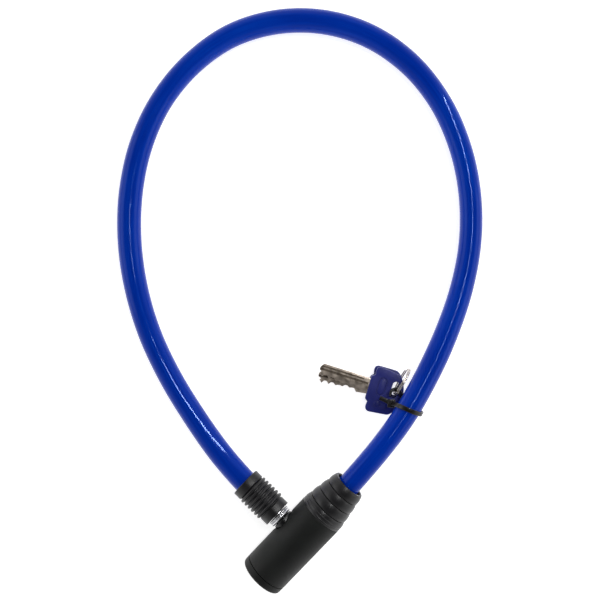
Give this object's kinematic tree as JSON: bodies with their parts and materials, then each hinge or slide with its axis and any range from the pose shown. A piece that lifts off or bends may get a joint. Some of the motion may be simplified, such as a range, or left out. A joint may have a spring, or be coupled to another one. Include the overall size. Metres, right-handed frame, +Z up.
{
  "type": "keyed bicycle cable lock",
  "caption": "Keyed bicycle cable lock: a sleeved steel cable whose ribbed plug end pushes its bolt into the side of a cylindrical lock body, with keys on a split ring.",
  "frame": {"origin": "middle of the base of the lock head (body, boot and plug) on the surface it lies on", "axes": "+Z up from the surface, +Y from the lock head to the far end of the cable loop, +X towards the side of the loop that the keys hang on"},
  "size_m": [0.1845, 0.2926, 0.0292],
  "materials": {
    "black_plastic": "black moulded ABS, fine matt texture",
    "black_rubber": "black flexible PVC, satin",
    "blue_pvc": "glossy royal blue PVC sleeve",
    "navy_plastic": "dark navy moulded key head",
    "zinc": "die-cast zinc alloy, as cast",
    "chrome": "polished chromium plate",
    "steel": "plain steel",
    "brass": "machined brass",
    "nickel_silver": "nickel silver key blank, milled"
  },
  "bodies": {
    "lock_body": {"body_cover": "black_plastic", "end_cap": "black_plastic", "cable_boot": "black_rubber", "inner_housing": "zinc", "cover_pin": "steel", "cable_crimp": "steel", "crimp_pin_upper": "steel", "crimp_pin_lower": "steel", "cable_sleeve": "blue_pvc", "cable_core": "steel", "cable_tie": "black_plastic"},
    "cylinder_group": {"key_cylinder": "brass", "wafer_1": "brass", "wafer_2": "brass", "wafer_3": "brass", "wafer_4": "brass", "wafer_5": "brass", "wafer_spring_1": "steel", "wafer_spring_2": "steel", "wafer_spring_3": "steel", "wafer_spring_4": "steel", "wafer_spring_5": "steel"},
    "latch_group": {"latch": "steel"},
    "plug_end": {"lock_bolt": "chrome", "bolt_collar": "chrome", "plug_sleeve": "black_rubber"},
    "ring_group": {"split_ring": "chrome"},
    "key_1": {"key_head_1": "navy_plastic", "key_blade_1": "nickel_silver"},
    "key_2": {"key_head_2": "navy_plastic", "key_blade_2": "nickel_silver"}
  },
  "joints": [
    {"name": "plug_slide", "type": "slide", "parent": "lock_body", "child": "plug_end", "axis": [-0.7203, 0.6831, -0.1207], "range_m": [0, 0.02], "deforming": ["cable_sleeve", "cable_core"]},
    {"name": "cylinder_turn", "type": "hinge", "parent": "lock_body", "child": "cylinder_group", "pos_m": [0.00113, -0.00168, 0.01537], "axis": [-0.669, -0.7301, -0.1392], "range_deg": [0, 90]},
    {"name": "latch_slide", "type": "slide", "parent": "lock_body", "child": "latch_group", "axis": [-0.1832, -0.0195, 0.9829], "range_m": [0, 0.00354]},
    {"name": "ring_swing", "type": "hinge", "parent": "lock_body", "child": "ring_group", "pos_m": [0.0522, 0.07437, 0.0154], "axis": [0.4924, 0.8704, 0], "range_deg": [0, 10]},
    {"name": "key_1_swing", "type": "hinge", "parent": "ring_group", "child": "key_1", "pos_m": [0.04846, 0.06775, 0.0082], "axis": [0, 0, 1], "range_deg": [-8, 8]},
    {"name": "key_2_swing", "type": "hinge", "parent": "ring_group", "child": "key_2", "pos_m": [0.04924, 0.06915, 0.004], "axis": [0, 0, 1], "range_deg": [-4, 4]}
  ],
  "couplings": [
    {"joint": "latch_slide", "follows": "cylinder_turn", "m_per_rad": 0.0022508}
  ]
}
